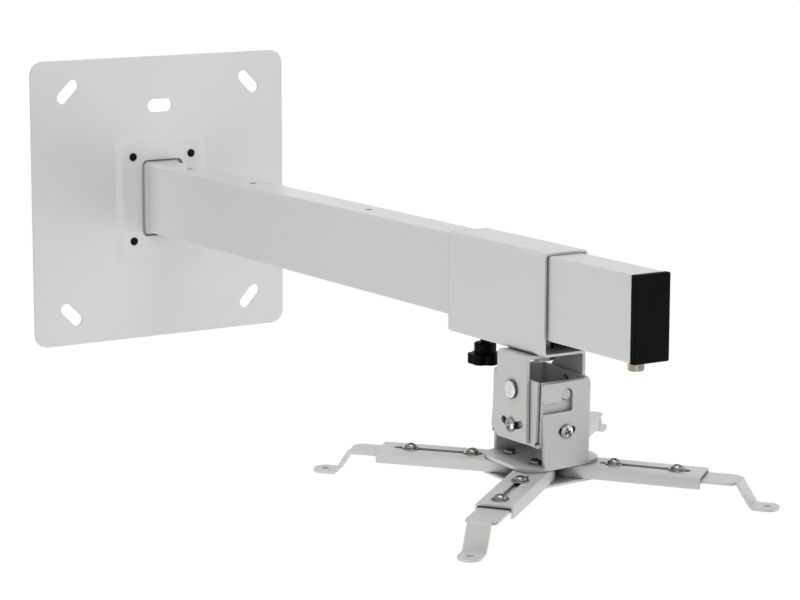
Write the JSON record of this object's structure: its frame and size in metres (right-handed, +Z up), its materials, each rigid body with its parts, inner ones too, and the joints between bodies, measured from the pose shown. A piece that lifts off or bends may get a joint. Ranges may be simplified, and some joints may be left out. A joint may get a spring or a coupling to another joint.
{
  "type": "projector wall mount",
  "caption": "Wall plate with a long rectangular arm; a sliding, swivelling, tilting head below it spreads four telescopic arms with feet for a projector.",
  "frame": {"origin": "middle of the wall plate's back face, in the plane of the wall", "axes": "+Y into the wall, with the tube running out along -Y; +Z up; +X to the right seen from the room"},
  "size_m": [0.2821, 0.7167, 0.2797],
  "materials": {
    "satin_white": "satin light grey white powder coat",
    "warm_grey": "satin light warm grey powder coat",
    "black_plastic": "matt black moulded plastic",
    "black_steel": "black oxide steel",
    "brass_screw": "dull yellow-grey plated steel",
    "zinc": "bright zinc plated steel"
  },
  "bodies": {
    "wall_bracket": {"wall_plate": "satin_white", "tube_flange": "satin_white", "flange_screws": "black_steel", "support_tube": "satin_white", "tube_end_cap": "black_plastic", "stop_bolt": "brass_screw"},
    "carriage": {"slide_sleeve": "satin_white", "clamp_nut": "zinc"},
    "knob": {"clamp_knob": "black_plastic", "clamp_stud": "black_steel"},
    "swivel": {"tilt_clevis": "warm_grey", "swivel_bolt": "zinc", "swivel_nut": "zinc", "tilt_pins": "zinc"},
    "tilt": {"tilt_block": "warm_grey", "tilt_lock_screws": "zinc", "roll_pins": "warm_grey", "roll_lock_screws": "zinc"},
    "hub": {"hub_bracket": "warm_grey", "hub_lower_plate": "warm_grey", "arm_pivot_bushes": "zinc", "arm_pivot_screws": "zinc", "arm_pivot_nuts": "zinc"},
    "arm_wall_left": {"arm_channel_wall_left": "warm_grey"},
    "foot_wall_left": {"arm_strip_wall_left": "warm_grey", "strip_screws_wall_left": "zinc", "strip_nuts_wall_left": "zinc"},
    "arm_room_left": {"arm_channel_room_left": "warm_grey"},
    "foot_room_left": {"arm_strip_room_left": "warm_grey", "strip_screws_room_left": "zinc", "strip_nuts_room_left": "zinc"},
    "arm_room_right": {"arm_channel_room_right": "warm_grey"},
    "foot_room_right": {"arm_strip_room_right": "warm_grey", "strip_screws_room_right": "zinc", "strip_nuts_room_right": "zinc"},
    "arm_wall_right": {"arm_channel_wall_right": "warm_grey"},
    "foot_wall_right": {"arm_strip_wall_right": "warm_grey", "strip_screws_wall_right": "zinc", "strip_nuts_wall_right": "zinc"}
  },
  "joints": [
    {"name": "sleeve_slide", "type": "slide", "parent": "wall_bracket", "child": "carriage", "axis": [0, -1, 0], "range_m": [-0.38, 0.088]},
    {"name": "knob_turn", "type": "hinge", "parent": "carriage", "child": "knob", "pos_m": [0, -0.509, 0], "axis": [0, 0, 1], "continuous": true},
    {"name": "head_swivel", "type": "hinge", "parent": "carriage", "child": "swivel", "pos_m": [0, -0.581, -0.0686], "axis": [0, 0, 1], "continuous": true},
    {"name": "head_tilt", "type": "hinge", "parent": "swivel", "child": "tilt", "pos_m": [0, -0.581, -0.0686], "axis": [1, 0, 0], "range_deg": [-26.4, 21.6]},
    {"name": "head_roll", "type": "hinge", "parent": "tilt", "child": "hub", "pos_m": [0, -0.581, -0.0686], "axis": [0, 0.9991, 0.0419], "range_deg": [-4.2, 7.8]},
    {"name": "swing_wall_left", "type": "hinge", "parent": "hub", "child": "arm_wall_left", "pos_m": [-0.01427, -0.5627, -0.12306], "axis": [-0.0314, -0.0419, 0.9986], "range_deg": [-38, 46]},
    {"name": "extend_wall_left", "type": "slide", "parent": "arm_wall_left", "child": "foot_wall_left", "axis": [-0.6557, 0.7549, 0.011], "range_m": [0, 0.01]},
    {"name": "swing_room_left", "type": "hinge", "parent": "hub", "child": "arm_room_left", "pos_m": [-0.01427, -0.59468, -0.1244], "axis": [-0.0314, -0.0419, 0.9986], "range_deg": [-34.3, 49.7]},
    {"name": "extend_room_left", "type": "slide", "parent": "arm_room_left", "child": "foot_room_left", "axis": [-0.7951, -0.6044, -0.0503], "range_m": [-0.0095, 0.0005]},
    {"name": "swing_room_right", "type": "hinge", "parent": "hub", "child": "arm_room_right", "pos_m": [0.01771, -0.59472, -0.12339], "axis": [-0.0314, -0.0419, 0.9986], "range_deg": [-34.7, 49.3]},
    {"name": "extend_room_right", "type": "slide", "parent": "arm_room_right", "child": "foot_room_right", "axis": [0.6112, -0.7913, -0.0139], "range_m": [-0.003, 0.007]},
    {"name": "swing_wall_right", "type": "hinge", "parent": "hub", "child": "arm_wall_right", "pos_m": [0.01771, -0.56275, -0.12205], "axis": [-0.0314, -0.0419, 0.9986], "range_deg": [-35.3, 48.7]},
    {"name": "extend_wall_right", "type": "slide", "parent": "arm_wall_right", "child": "foot_wall_right", "axis": [0.7844, 0.6182, 0.0506], "range_m": [-0.0025, 0.0075]}
  ]
}
